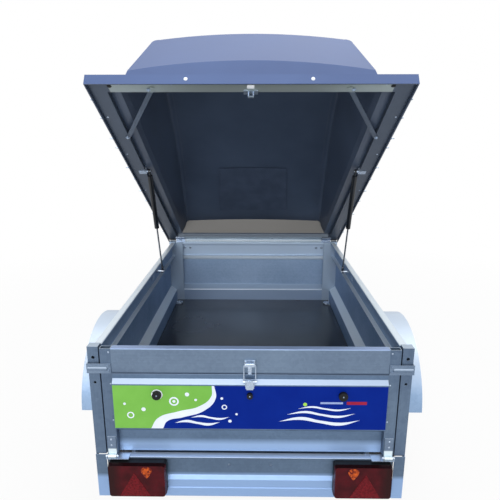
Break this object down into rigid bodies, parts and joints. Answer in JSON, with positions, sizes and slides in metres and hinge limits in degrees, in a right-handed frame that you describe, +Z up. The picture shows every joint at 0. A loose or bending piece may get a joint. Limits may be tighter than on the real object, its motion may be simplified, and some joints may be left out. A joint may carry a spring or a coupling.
{
  "type": "lidded utility trailer",
  "caption": "Single-axle box trailer with rolled steel sides, hinged moulded lid on gas struts, drop tailgate, jockey wheel and ball coupling",
  "frame": {"origin": "ground level under the middle of the plan outline", "axes": "+X right, +Y forward to the coupling, +Z up"},
  "size_m": [1.484, 2.413, 1.9511],
  "materials": {
    "galvanised_sheet": "hot-dip galvanised sheet steel",
    "galvanised_steel": "hot-dip galvanised rolled steel",
    "plywood": "phenolic film-faced plywood",
    "abs_grey": "thermoformed ABS",
    "aluminium": "extruded aluminium angle",
    "black_plastic": "moulded black plastic",
    "black_steel": "black enamelled steel tube",
    "rod_steel": "hard chromed rod",
    "zinc_steel": "zinc plated steel",
    "tyre_rubber": "black tyre rubber",
    "hard_rubber": "solid black rubber",
    "wheel_paint": "silver stove enamel",
    "lens_red": "red acrylic lens"
  },
  "bodies": {
    "trailer": {"floor_board": "plywood", "chassis_frame": "galvanised_steel", "lamp_board": "galvanised_sheet", "drawbar": "galvanised_steel", "coupling_head": "zinc_steel", "coupling_lever": "black_plastic", "axle_beam": "galvanised_steel", "swing_arms": "galvanised_steel", "left_board": "galvanised_sheet", "right_board": "galvanised_sheet", "front_board": "galvanised_sheet", "upper_boards": "galvanised_sheet", "corner_posts": "galvanised_steel", "mudguard_left": "galvanised_sheet", "mudguard_right": "galvanised_sheet", "lamp_bodies": "black_plastic", "lamp_lenses": "lens_red", "tie_rings": "zinc_steel", "tarp_buttons": "black_plastic", "strut_studs": "zinc_steel", "gate_hinge_feet": "zinc_steel", "body_hinge_leaves": "zinc_steel", "jockey_clamp": "zinc_steel", "jockey_crank": "zinc_steel"},
    "lid": {"lid_shell": "abs_grey", "lid_frame": "aluminium", "lid_braces": "aluminium", "lid_keeper": "zinc_steel", "lid_hinge_leaves": "zinc_steel", "strut_brackets": "zinc_steel"},
    "strut_tube_left": {"strut_cylinder_left": "black_steel"},
    "strut_tube_right": {"strut_cylinder_right": "black_steel"},
    "strut_shaft_left": {"strut_rod_left": "rod_steel"},
    "strut_shaft_right": {"strut_rod_right": "rod_steel"},
    "tailgate": {"tailgate_board": "galvanised_sheet", "tailgate_extension": "galvanised_sheet", "tailgate_stiles": "galvanised_steel", "tailgate_straps": "zinc_steel", "tailgate_clamps": "zinc_steel", "tailgate_buttons": "black_plastic", "toggle_latch": "zinc_steel"},
    "wheel_left": {"wheel_rim_left": "wheel_paint", "tyre_left": "tyre_rubber"},
    "wheel_right": {"wheel_rim_right": "wheel_paint", "tyre_right": "tyre_rubber"},
    "jockey_slider": {"jockey_leg": "zinc_steel"},
    "jockey_yoke": {"jockey_fork": "zinc_steel"},
    "jockey_roller": {"jockey_wheel": "hard_rubber"}
  },
  "joints": [
    {"name": "lid_hinge", "type": "hinge", "parent": "trailer", "child": "lid", "pos_m": [0, 0.36383, 0.928], "axis": [-1, 0, 0], "range_deg": [-32, 0]},
    {"name": "tailgate_hinge", "type": "hinge", "parent": "trailer", "child": "tailgate", "pos_m": [0, -1.17948, 0.5222], "axis": [1, 0, 0], "range_deg": [0, 90]},
    {"name": "strut_left_pivot", "type": "hinge", "parent": "lid", "child": "strut_tube_left", "pos_m": [-0.4637, -0.42274, 1.42422], "axis": [-1, 0, 0], "range_deg": [-33, 0.4]},
    {"name": "strut_left_slide", "type": "slide", "parent": "strut_tube_left", "child": "strut_shaft_left", "axis": [0, 0.3342, -0.9425], "range_m": [-0.2296, 0.003]},
    {"name": "wheel_left_spin", "type": "hinge", "parent": "trailer", "child": "wheel_left", "pos_m": [-0.6325, -0.40947, 0.281], "axis": [1, 0, 0], "continuous": true},
    {"name": "strut_right_pivot", "type": "hinge", "parent": "lid", "child": "strut_tube_right", "pos_m": [0.4637, -0.42274, 1.42422], "axis": [-1, 0, 0], "range_deg": [-33, 0.4]},
    {"name": "strut_right_slide", "type": "slide", "parent": "strut_tube_right", "child": "strut_shaft_right", "axis": [0, 0.3342, -0.9425], "range_m": [-0.2296, 0.003]},
    {"name": "wheel_right_spin", "type": "hinge", "parent": "trailer", "child": "wheel_right", "pos_m": [0.6325, -0.40947, 0.281], "axis": [1, 0, 0], "continuous": true},
    {"name": "jockey_raise", "type": "slide", "parent": "trailer", "child": "jockey_slider", "axis": [0, 0, 1], "range_m": [-0.1, 0.06]},
    {"name": "jockey_swivel", "type": "hinge", "parent": "jockey_slider", "child": "jockey_yoke", "pos_m": [-0.0703, 0.79853, 0.1], "axis": [0, 0, 1], "continuous": true},
    {"name": "jockey_wheel_spin", "type": "hinge", "parent": "jockey_yoke", "child": "jockey_roller", "pos_m": [-0.0703, 0.76653, 0.1], "axis": [1, 0, 0], "continuous": true}
  ],
  "couplings": [
    {"joint": "strut_left_pivot", "follows": "lid_hinge", "ratio": 1.0186},
    {"joint": "strut_left_slide", "follows": "lid_hinge", "m_per_rad": 0.40566},
    {"joint": "strut_right_pivot", "follows": "lid_hinge", "ratio": 1.0186},
    {"joint": "strut_right_slide", "follows": "lid_hinge", "m_per_rad": 0.40566}
  ]
}
